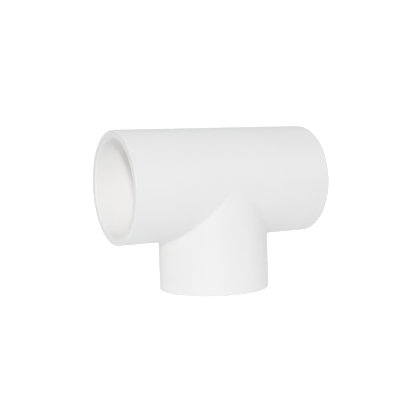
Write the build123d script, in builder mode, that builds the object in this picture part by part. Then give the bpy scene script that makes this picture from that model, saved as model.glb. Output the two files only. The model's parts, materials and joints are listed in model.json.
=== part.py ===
"""Equal tee for 63 mm PVC-U pressure pipe, with three plain solvent-weld sockets.

The real tee is one moulding. It is held here as four solids that touch face to face, one for
each working part of the moulding: the junction body with its waterway, and the three sockets.

Millimetres, +Z up. The origin is the centre of the branch mouth, which the tee stands on.
The run lies along X, and the branch hangs from the middle of it, along -Z.
"""
from build123d import *
import os

# Driving dimensions
BODY_RADIUS = 37.0  # outside of the run and of the branch
REACH = 71.0  # middle of the tee to each mouth
SOCKET_RADIUS = 31.6  # a 63.0 mm pipe, with 0.1 mm all round for the solvent cement
SOCKET_DEPTH = 38.0  # mouth to the shoulder that stops the pipe
WATERWAY_RADIUS = 29.0  # behind the shoulders
SOCKET_ROOT = 41.0  # middle of the tee to where a socket's outside begins
MOUTH_OUTER_ROUND = 0.9
MOUTH_INNER_ROUND = 1.3  # leads the pipe in
SHOULDER_CHAMFER = 0.8

# Worked out from the driving dimensions
SHOULDER = REACH - SOCKET_DEPTH  # middle of the tee to each pipe stop
MIDDLE = Vector(0, 0, REACH)  # where the run's axis and the branch's axis cross

# The sockets by name, with the direction in which each one opens
SOCKETS = {
    "left_socket": Vector(-1, 0, 0),
    "right_socket": Vector(1, 0, 0),
    "branch_socket": Vector(0, 0, -1),
}

os.makedirs("parts", exist_ok=True)


def section_plane(outward):
    """The plane of a socket's half section: X is the distance from the middle, Y the radius."""
    return Plane(origin=MIDDLE, x_dir=outward, z_dir=Vector(0, 1, 0))


def socket(outward):
    """A tube with a conical root that fits the junction body, and a rounded mouth."""
    with BuildPart() as tube:
        with BuildSketch(section_plane(outward)) as section:
            with BuildLine():
                Polyline(
                    (SHOULDER, SOCKET_RADIUS),
                    (REACH, SOCKET_RADIUS),
                    (REACH, BODY_RADIUS),
                    (SOCKET_ROOT, BODY_RADIUS),
                    close=True,
                )
            make_face()
            inner_lip = section.vertices().group_by(Axis.X)[-1].sort_by(Axis.Y)[0]
            fillet(inner_lip, MOUTH_INNER_ROUND)
            outer_lip = section.vertices().group_by(Axis.X)[-1].sort_by(Axis.Y)[-1]
            fillet(outer_lip, MOUTH_OUTER_ROUND)
        revolve(axis=Axis(MIDDLE, outward))
    return tube


# Junction body: two crossing cylinders of the same radius, hollowed out towards each socket
with BuildPart() as junction_body:
    with BuildSketch(Plane(origin=MIDDLE, z_dir=SOCKETS["right_socket"])):
        Circle(BODY_RADIUS)
    extrude(amount=SOCKET_ROOT, both=True)
    with BuildSketch(Plane(origin=MIDDLE, z_dir=SOCKETS["branch_socket"])):
        Circle(BODY_RADIUS)
    extrude(amount=SOCKET_ROOT)
    for outward in SOCKETS.values():
        with BuildSketch(section_plane(outward)):
            with BuildLine():
                Polyline(
                    (0, 0),
                    (0, WATERWAY_RADIUS),
                    (SHOULDER - SHOULDER_CHAMFER, WATERWAY_RADIUS),
                    (SHOULDER, WATERWAY_RADIUS + SHOULDER_CHAMFER),
                    (SHOULDER, SOCKET_RADIUS),
                    (SOCKET_ROOT, BODY_RADIUS),
                    (SOCKET_ROOT, 0),
                    close=True,
                )
            make_face()
        revolve(axis=Axis(MIDDLE, outward), mode=Mode.SUBTRACT)

junction_body.part.label = "junction_body"
export_step(junction_body.part, "parts/junction_body.step")

# Sockets: one plain slip socket at each end of the run, and one on the branch
for name, outward in SOCKETS.items():
    tube = socket(outward)
    tube.part.label = name
    export_step(tube.part, f"parts/{name}.step")
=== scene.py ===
"""Looks of the equal tee: its moulded skin, the white PVC, and a plain white studio.

Metres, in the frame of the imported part: +X along the run, +Z up, and the branch mouth on the
floor at the origin. The tee is one moulding, so the four skins made here share their edge
loops and their material, and no seam shows between them.
"""

import json
import math

import bmesh
import bpy
import numpy as np
from mathutils import Matrix, Vector, noise


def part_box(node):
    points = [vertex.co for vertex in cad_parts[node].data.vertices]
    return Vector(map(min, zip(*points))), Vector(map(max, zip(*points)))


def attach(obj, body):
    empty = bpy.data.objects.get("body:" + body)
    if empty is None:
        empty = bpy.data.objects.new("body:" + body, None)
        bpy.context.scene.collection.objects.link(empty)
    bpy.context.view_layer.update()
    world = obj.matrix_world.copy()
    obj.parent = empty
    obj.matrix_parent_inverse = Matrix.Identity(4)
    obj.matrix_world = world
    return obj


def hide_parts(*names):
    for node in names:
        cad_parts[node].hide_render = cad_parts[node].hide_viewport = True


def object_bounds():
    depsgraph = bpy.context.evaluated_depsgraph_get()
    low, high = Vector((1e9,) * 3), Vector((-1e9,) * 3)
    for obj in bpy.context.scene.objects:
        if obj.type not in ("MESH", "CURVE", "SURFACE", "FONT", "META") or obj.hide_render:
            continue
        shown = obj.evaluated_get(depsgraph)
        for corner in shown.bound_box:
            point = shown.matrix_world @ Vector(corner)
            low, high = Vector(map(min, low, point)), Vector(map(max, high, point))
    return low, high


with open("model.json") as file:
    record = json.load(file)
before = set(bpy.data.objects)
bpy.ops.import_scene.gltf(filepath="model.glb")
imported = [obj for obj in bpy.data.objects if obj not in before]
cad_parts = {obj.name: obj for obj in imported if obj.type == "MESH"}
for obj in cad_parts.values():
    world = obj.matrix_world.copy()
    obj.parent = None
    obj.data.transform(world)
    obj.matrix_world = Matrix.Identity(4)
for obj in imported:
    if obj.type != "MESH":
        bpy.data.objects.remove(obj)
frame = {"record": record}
cad_low, cad_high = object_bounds()
mounts = {m["name"]: m for m in frame["record"]["mounts"]}

# Sizes that the frame gives
REACH = (cad_high.x - cad_low.x) / 2  # middle of the tee to each mouth
BODY_RADIUS = (cad_high.y - cad_low.y) / 2
MIDDLE = Vector((0, 0, cad_high.z - BODY_RADIUS))  # where the run's and the branch's axes cross
SOCKET_RADIUS = mounts["right_socket"]["dims"]["r_mm"] / 1000
SOCKET_WALL = mounts["right_socket"]["dims"]["length_mm"] / 1000
SHOULDER = mounts["right_socket"]["pos_m"][0] - SOCKET_WALL / 2  # middle to each pipe stop
SOCKET_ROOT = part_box("junction_body")[1].x  # middle to where a socket's outside begins

# Sizes of the moulding's details
MOUTH_INNER_ROUND = REACH - SHOULDER - SOCKET_WALL
MOUTH_OUTER_ROUND = 0.0009
WATERWAY_RADIUS = 0.029
SHOULDER_CHAMFER = 0.0008
SHOULDER_FILLET = 0.0005  # in the corner between a socket's wall and its shoulder
CREASE_ROUND = 0.0030  # rolling-ball blend between the run and the branch, outside
THROAT_ROUND = 0.0010  # the same, where the two waterways meet
FLASH_HEIGHT = 0.00010  # the line that the two mould halves leave along the tee's middle plane
FLASH_HALF_WIDTH = 0.00045
FLASH_FADE = 0.0030  # length over which it runs out before a mouth
FLASH_UNEVENNESS = 0.9  # of its height
FLASH_WAVES = 110  # unevennesses per metre

# Fineness of the skins, as numbers of steps
STEPS_PER_QUARTER = 44  # around a quarter turn, besides the finer steps at the parting line
BESIDE_LINE = (1.6, 1.0, 0.75, 0.5, 0.25)  # the finer steps, in the line's half widths from it
LINE_ZONE = 2.5  # half widths from the line within which only the finer steps are taken
ALONG_RUN = 20
ALONG_BRANCH = 12
ALONG_SOCKET = 20
ALONG_BORE = 14
ACROSS_CREASE = 8
ACROSS_ROUND = 10
ACROSS_CONE = 4
ACROSS_RIM = 3
ACROSS_SHOULDER = 2

# Tolerances of the skins
WELD_DISTANCE = 1e-7
SLIVER_LENGTH = 1e-9
ON_OUTSIDE = 1e-6  # how far inside the body radius a point may be and still count as outside
SAME_DIRECTION = 1e-6  # radians
SHARP_CORNER = 32  # degrees; the rounds and blends turn far less from face to face

# Each way out of the tee: the direction outward, and the direction at a quarter turn of a ring
WAYS = {
    "left_socket": (Vector((-1, 0, 0)), Vector((0, 0, -1))),
    "right_socket": (Vector((1, 0, 0)), Vector((0, 0, -1))),
    "branch_socket": (Vector((0, 0, -1)), Vector((-1, 0, 0))),
}
ACROSS = Vector((0, 1, 0))  # the start of every ring, square to both axes

# Looks of the plastic
PVC_DARKER = (0.929, 0.924, 0.910)
PVC_LIGHTER = (0.943, 0.938, 0.924)
PVC_GLOSSIER = 0.40  # roughness
PVC_DULLER = 0.50
TONE_SCALE, TONE_DETAIL = 35, 3  # scales are in cells per metre
GLOSS_SCALE, GLOSS_DETAIL = 160, 4
PEEL_SCALE, PEEL_DETAIL = 420, 2
PEEL_STRENGTH = 0.05
PEEL_DEPTH = 0.001
NOISE_SPAN = (0.3, 0.7)  # values of the noise at which its two tones are reached

# Studio
FLOOR_RADIUS = 4.0
BACKDROP_RADIUS = 5.0
PAPER_COLOUR = (0.9, 0.9, 0.9)
STUDIO_GLOW = 1.1  # emission of floor and backdrop, just past white
LIGHT_BOUNCES = 16  # so that light reaches deep into the white sockets
LAMP_DISTANCE = 1.5
UNDER_FLOOR = 0.0005  # just under the tee, clear of the face that it stands on
LIGHT_COLOUR = (0.980, 0.987, 1.0)  # cool, so that the warm white of the plastic looks neutral
WORLD_TOWARDS = (0.371, 0.445, 0.481)  # lobes along +X, +Y and +Z
WORLD_AGAINST = (0.413, 0.055, 0.503)  # lobes along -X, -Y and -Z

# Camera
CAMERA_AZIMUTH = -28.33  # degrees; 0 looks along +Y
CAMERA_ELEVATION = 4.65
CAMERA_ROLL = -1.65
CAMERA_DISTANCE = 15.342 * BODY_RADIUS
CAMERA_RIGHT = -0.0210 * BODY_RADIUS  # from the line straight out from the tee's middle
CAMERA_UP = -0.4919 * BODY_RADIUS
CAMERA_LENS = 72.17  # mm
CAMERA_SENSOR = 36.0  # mm wide


def add_object(name, mesh):
    """Puts a finished mesh in the scene as an object."""
    data = bpy.data.meshes.new(name)
    mesh.to_mesh(data)
    mesh.free()
    added = bpy.data.objects.new(name, data)
    bpy.context.scene.collection.objects.link(added)
    return added


# ---------------------------------------------------------------- the skin as grids of points

def half_turn():
    """Angles from 0 to pi, with finer steps at pi/2, where the parting line runs."""
    quarter = math.pi / 2
    line = FLASH_HALF_WIDTH / BODY_RADIUS
    coarse = np.linspace(0, quarter - LINE_ZONE * line, STEPS_PER_QUARTER)
    fine = quarter - line * np.array(BESIDE_LINE)
    first = np.concatenate([coarse, fine])
    return np.concatenate([first, [quarter], (math.pi - first)[::-1]])


HALF = half_turn()
RING = np.concatenate([HALF, math.pi + HALF[1:]])


def unit_arc(start, end, steps):
    """Unit vectors that turn evenly from one unit vector to another."""
    turn = math.acos(max(-1.0, min(1.0, start.dot(end))))
    if turn < SAME_DIRECTION:
        return [start] * (steps + 1)
    return [
        (start * math.sin((1 - t) * turn) + end * math.sin(t * turn)) / math.sin(turn)
        for t in np.linspace(0, 1, steps + 1)
    ]


def folded_line(angle, radius, blend, end):
    """One line of a wall, at one angle of the half turn.

    It comes in from the left end along the run, turns through the blend that a ball rolling in
    the crease leaves, and goes down the branch.
    """
    s, c = math.sin(angle), math.cos(angle)
    centre = Vector((-(radius + blend) * s, (radius + blend) * c, -(radius + blend) * s))
    line = [
        Vector((x, radius * c, -radius * s))
        for x in np.linspace(-end, centre.x, ALONG_RUN + 1)
    ]
    arc = unit_arc(Vector((0, -c, s)), Vector((s, -c, 0)), ACROSS_CREASE)
    line += [centre + blend * d for d in arc[1:]]
    line += [
        Vector((-radius * s, radius * c, z))
        for z in np.linspace(centre.z, -end, ALONG_BRANCH + 1)[1:]
    ]
    return line


def crossing_grids(radius, blend, end):
    """The wall of a run and a branch of one radius, each cut off square at one distance from the middle.

    Its three sheets are the left and the right part of its lower half with the branch, and the
    upper half of the run.
    """
    left = [folded_line(a, radius, blend, end) for a in HALF]
    right = [[Vector((-p.x, p.y, p.z)) for p in line] for line in left]
    inward = list(np.linspace(-end, 0, ALONG_RUN + 1))
    stations = inward + [-x for x in reversed(inward[:-1])]
    over = [
        [Vector((x, radius * math.cos(a), -radius * math.sin(a))) for x in stations]
        for a in math.pi + HALF
    ]
    return [left, right, over]


def turned_grid(profile, way):
    """A profile of (distance outward, radius) points, turned round one of the tee's axes."""
    outward, side = WAYS[way]
    return [
        [outward * d + (ACROSS * math.cos(a) + side * math.sin(a)) * r for d, r in profile]
        for a in RING
    ]


def round_corner(centre, radius, start, end):
    """Points of an arc in a profile, from one angle in degrees to another."""
    return [
        (centre[0] + radius * math.cos(a), centre[1] + radius * math.sin(a))
        for a in np.radians(np.linspace(start, end, ACROSS_ROUND + 1))
    ]


def even(start, end, steps):
    """Points on a straight stretch of a profile, both ends included."""
    return [tuple(p) for p in np.linspace(start, end, steps + 1)]


# ---------------------------------------------------------------- the skin as meshes

def add_grid(mesh, grid):
    """Adds a grid of points, measured from the tee's middle, as a sheet of quads."""
    rows = [[mesh.verts.new(MIDDLE + p) for p in line] for line in grid]
    for near, far in zip(rows, rows[1:]):
        for i in range(len(near) - 1):
            mesh.faces.new((near[i], near[i + 1], far[i + 1], far[i]))


def straight_out(p):
    """The direction straight out of the outside at a point near the middle plane.

    On the run and the branch it points away from the axis, and on the blend towards the centre
    of the ball that rolls in the crease.
    """
    ball = Vector((math.copysign(BODY_RADIUS + CREASE_ROUND, p.x), p.y, -BODY_RADIUS - CREASE_ROUND))
    if p.z > 0 or abs(p.x) > abs(ball.x):
        return Vector((0, p.y, p.z)).normalized()
    if p.z < ball.z:
        return Vector((p.x, p.y, 0)).normalized()
    return (ball - p).normalized()


def flash_height(p):
    """How far the parting line stands out of the skin at a point measured from the tee's middle."""
    across = min(1.0, abs(p.y) / FLASH_HALF_WIDTH)
    to_mouth = REACH - MOUTH_OUTER_ROUND - max(abs(p.x), -p.z)
    fade = max(0.0, min(1.0, to_mouth / FLASH_FADE))
    uneven = 1 + FLASH_UNEVENNESS * noise.noise(p * FLASH_WAVES)
    return FLASH_HEIGHT * uneven * fade * (1 - across * across) ** 2


def raise_parting_line(mesh):
    """Lifts the parting line out of the outside, along the tee's middle plane."""
    for v in mesh.verts:
        p = v.co - MIDDLE
        from_run = math.hypot(p.y, p.z)
        from_branch = math.hypot(p.x, p.y) if p.z < 0 else from_run
        if abs(p.y) < FLASH_HALF_WIDTH and min(from_run, from_branch) > BODY_RADIUS - ON_OUTSIDE:
            v.co += straight_out(p) * flash_height(p)


def skin(name, grids):
    """One closed skin, welded from its grids, smooth but for its true corners."""
    mesh = bmesh.new()
    for grid in grids:
        add_grid(mesh, grid)
    bmesh.ops.remove_doubles(mesh, verts=mesh.verts, dist=WELD_DISTANCE)
    bmesh.ops.dissolve_degenerate(mesh, dist=SLIVER_LENGTH, edges=mesh.edges)
    bmesh.ops.recalc_face_normals(mesh, faces=mesh.faces)
    raise_parting_line(mesh)
    for face in mesh.faces:
        face.smooth = True
    piece = add_object(name, mesh)
    piece.data.set_sharp_from_angle(angle=math.radians(SHARP_CORNER))
    weighted = piece.modifiers.new("even_shading", "WEIGHTED_NORMAL")
    weighted.keep_sharp = True
    return piece


def junction_skin():
    """The crossing: its outside, its waterway, and at each way out the shoulder and the root cone."""
    chamfer_start = (SHOULDER - SHOULDER_CHAMFER, WATERWAY_RADIUS)
    chamfer_end = (SHOULDER, WATERWAY_RADIUS + SHOULDER_CHAMFER)
    cone_start = (SHOULDER, SOCKET_RADIUS)
    cone_end = (SOCKET_ROOT, BODY_RADIUS)
    profile = even(chamfer_start, chamfer_end, ACROSS_SHOULDER)
    profile += even(chamfer_end, cone_start, ACROSS_SHOULDER)[1:]
    profile += even(cone_start, cone_end, ACROSS_CONE)[1:]
    grids = crossing_grids(BODY_RADIUS, CREASE_ROUND, SOCKET_ROOT)
    grids += crossing_grids(WATERWAY_RADIUS, THROAT_ROUND, SHOULDER - SHOULDER_CHAMFER)
    grids += [turned_grid(profile, way) for way in WAYS]
    return skin("junction_skin", grids)


def socket_skin(way):
    """A socket: root cone, outside, rounded mouth, bore, and the small fillet at the shoulder."""
    outer = (REACH - MOUTH_OUTER_ROUND, BODY_RADIUS - MOUTH_OUTER_ROUND)
    inner = (REACH - MOUTH_INNER_ROUND, SOCKET_RADIUS + MOUTH_INNER_ROUND)
    foot = (SHOULDER + SHOULDER_FILLET, SOCKET_RADIUS - SHOULDER_FILLET)
    profile = even((SHOULDER, SOCKET_RADIUS), (SOCKET_ROOT, BODY_RADIUS), ACROSS_CONE)
    profile += even((SOCKET_ROOT, BODY_RADIUS), (outer[0], BODY_RADIUS), ALONG_SOCKET)[1:]
    profile += round_corner(outer, MOUTH_OUTER_ROUND, 90, 0)[1:]
    profile += even((REACH, outer[1]), (REACH, inner[1]), ACROSS_RIM)[1:]
    profile += round_corner(inner, MOUTH_INNER_ROUND, 0, -90)[1:]
    profile += even((inner[0], SOCKET_RADIUS), (foot[0], SOCKET_RADIUS), ALONG_BORE)[1:]
    profile += round_corner(foot, SHOULDER_FILLET, 90, 180)[1:]
    profile += [(SHOULDER, SOCKET_RADIUS)]
    return skin(way + "_skin", [turned_grid(profile, way)])


# ---------------------------------------------------------------- material

def white_pvc():
    """Moulded white PVC-U: a satin skin with a faint orange peel and slight unevenness of tone."""
    material = bpy.data.materials.new("moulded_pvc")
    material.use_nodes = True
    nodes, links = material.node_tree.nodes, material.node_tree.links
    shader = nodes["Principled BSDF"]
    position = nodes.new("ShaderNodeTexCoord").outputs["Object"]

    def cloud(scale, detail):
        """Soft noise through the solid."""
        node = nodes.new("ShaderNodeTexNoise")
        node.inputs["Scale"].default_value = scale
        node.inputs["Detail"].default_value = detail
        links.new(position, node.inputs["Vector"])
        return node.outputs["Fac"]

    def ramp(value, low, high):
        """The noise as a colour between two colours."""
        node = nodes.new("ShaderNodeValToRGB")
        ends = node.color_ramp.elements
        ends[0].position, ends[1].position = NOISE_SPAN
        ends[0].color, ends[1].color = (*low, 1), (*high, 1)
        links.new(value, node.inputs["Fac"])
        return node.outputs["Color"]

    tone = ramp(cloud(TONE_SCALE, TONE_DETAIL), PVC_DARKER, PVC_LIGHTER)
    links.new(tone, shader.inputs["Base Color"])
    gloss = ramp(cloud(GLOSS_SCALE, GLOSS_DETAIL), [PVC_GLOSSIER] * 3, [PVC_DULLER] * 3)
    links.new(gloss, shader.inputs["Roughness"])
    peel = nodes.new("ShaderNodeBump")
    peel.inputs["Strength"].default_value = PEEL_STRENGTH
    peel.inputs["Distance"].default_value = PEEL_DEPTH
    links.new(cloud(PEEL_SCALE, PEEL_DETAIL), peel.inputs["Height"])
    links.new(peel.outputs["Normal"], shader.inputs["Normal"])
    return material


# ---------------------------------------------------------------- the tee

pvc = white_pvc()
pieces = {"junction_body": junction_skin()}
for way in WAYS:
    pieces[way] = socket_skin(way)
for node, piece in pieces.items():
    piece.data.materials.append(pvc)
    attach(piece, "root")
    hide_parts(node)


# ---------------------------------------------------------------- studio

def floor_paper():
    """Matt white paper, which glows besides, so that no shadow or horizon shows on it."""
    material = bpy.data.materials.new("floor_paper")
    material.use_nodes = True
    shader = material.node_tree.nodes["Principled BSDF"]
    shader.inputs["Base Color"].default_value = (*PAPER_COLOUR, 1)
    shader.inputs["Roughness"].default_value = 1.0
    shader.inputs["Emission Color"].default_value = (1, 1, 1, 1)
    shader.inputs["Emission Strength"].default_value = STUDIO_GLOW
    return material


def backdrop_white():
    """A glow and nothing else, so that no lamp shades it."""
    material = bpy.data.materials.new("backdrop_white")
    material.use_nodes = True
    nodes = material.node_tree.nodes
    nodes.clear()
    shader = nodes.new("ShaderNodeEmission")
    shader.inputs["Strength"].default_value = STUDIO_GLOW
    out = nodes.new("ShaderNodeOutputMaterial")
    material.node_tree.links.new(shader.outputs["Emission"], out.inputs["Surface"])
    return material


def round_floor():
    """One flat round sheet, level with the bottom of the tee."""
    mesh = bmesh.new()
    level = Matrix.Translation((0, 0, cad_low.z))
    bmesh.ops.create_circle(mesh, cap_ends=True, segments=96, radius=FLOOR_RADIUS, matrix=level)
    return add_object("floor", mesh)


def round_backdrop():
    """A ball round the whole studio."""
    mesh = bmesh.new()
    bmesh.ops.create_uvsphere(mesh, u_segments=48, v_segments=24, radius=BACKDROP_RADIUS)
    return add_object("backdrop", mesh)


def soft_surround():
    """Soft light from all round, as a world with a lobe along each way of each axis.

    Its strength is the sum of the lobes, each times the cosine of the angle to it.
    """
    world = bpy.data.worlds.new("studio")
    world.use_nodes = True
    nodes, links = world.node_tree.nodes, world.node_tree.links
    direction = nodes.new("ShaderNodeTexCoord").outputs["Generated"]
    total = nodes.new("ShaderNodeMath")
    for i, (sign, lobes) in enumerate(((1, WORLD_TOWARDS), (-1, WORLD_AGAINST))):
        turned = nodes.new("ShaderNodeVectorMath")
        turned.operation = "MULTIPLY"
        turned.inputs[1].default_value = (sign, sign, sign)
        links.new(direction, turned.inputs[0])
        facing = nodes.new("ShaderNodeVectorMath")
        facing.operation = "MAXIMUM"
        links.new(turned.outputs["Vector"], facing.inputs[0])
        weighed = nodes.new("ShaderNodeVectorMath")
        weighed.operation = "DOT_PRODUCT"
        weighed.inputs[1].default_value = lobes
        links.new(facing.outputs["Vector"], weighed.inputs[0])
        links.new(weighed.outputs["Value"], total.inputs[i])
    background = nodes["Background"]
    background.inputs["Color"].default_value = (*LIGHT_COLOUR, 1)
    links.new(total.outputs["Value"], background.inputs["Strength"])
    return world


def direction_to(azimuth, elevation):
    """The direction from the tee to something that looks at it, from angles in degrees."""
    az, el = math.radians(azimuth), math.radians(elevation)
    return Vector((math.sin(az) * math.cos(el), -math.cos(az) * math.cos(el), math.sin(el)))


def add_lamp(name, shape, size, power, place, aim):
    """A flat lamp at a place, which shines in a direction and which the camera doesn't see."""
    data = bpy.data.lights.new(name, "AREA")
    data.shape = shape
    data.size = size
    data.energy = power
    data.color = LIGHT_COLOUR
    lamp = bpy.data.objects.new(name, data)
    bpy.context.scene.collection.objects.link(lamp)
    lamp.location = place
    lamp.rotation_mode = "QUATERNION"
    lamp.rotation_quaternion = aim.to_track_quat("-Z", "Y")
    lamp.visible_camera = False


def add_softbox(name, toward, size, power):
    """A square lamp out in one direction from the tee, which shines on it."""
    add_lamp(name, "SQUARE", size, power, place=MIDDLE + toward * LAMP_DISTANCE, aim=-toward)


floor = round_floor()
floor.data.materials.append(floor_paper())
backdrop = round_backdrop()
backdrop.data.materials.append(backdrop_white())
for surface in (floor, backdrop):  # only the camera sees them: the world and the lamps light the tee
    surface.visible_diffuse = False
    surface.visible_glossy = False
    surface.visible_shadow = False

bpy.context.scene.world = soft_surround()
add_softbox("key", toward=direction_to(azimuth=-27, elevation=16), size=0.12, power=9.15)
add_softbox("side_fill", toward=direction_to(azimuth=50, elevation=15), size=0.9, power=2.71)
# The light that a white table throws back up at the tee
add_lamp("table_glow", "DISK", size=0.4, power=0.0922,
         place=Vector((0, 0, cad_low.z - UNDER_FLOOR)), aim=Vector((0, 0, 1)))
bpy.context.scene.cycles.diffuse_bounces = LIGHT_BOUNCES
bpy.context.scene.cycles.max_bounces = LIGHT_BOUNCES
bpy.context.scene.view_settings.view_transform = "Standard"


# ---------------------------------------------------------------- camera

def camera_axes():
    """The camera's right, up and back directions."""
    back = direction_to(CAMERA_AZIMUTH, CAMERA_ELEVATION)
    roll = math.radians(CAMERA_ROLL)
    level = (-back).cross(Vector((0, 0, 1))).normalized()
    upright = level.cross(-back)
    right = level * math.cos(roll) + upright * math.sin(roll)
    up = upright * math.cos(roll) - level * math.sin(roll)
    return right, up, back


right, up, back = camera_axes()
place = MIDDLE + back * CAMERA_DISTANCE + right * CAMERA_RIGHT + up * CAMERA_UP
camera_data = bpy.data.cameras.new("camera")
camera_data.lens = CAMERA_LENS
camera_data.sensor_width = CAMERA_SENSOR
camera = bpy.data.objects.new("camera", camera_data)
bpy.context.scene.collection.objects.link(camera)
camera.matrix_world = Matrix.Translation(place) @ Matrix((right, up, back)).transposed().to_4x4()
bpy.context.scene.camera = camera
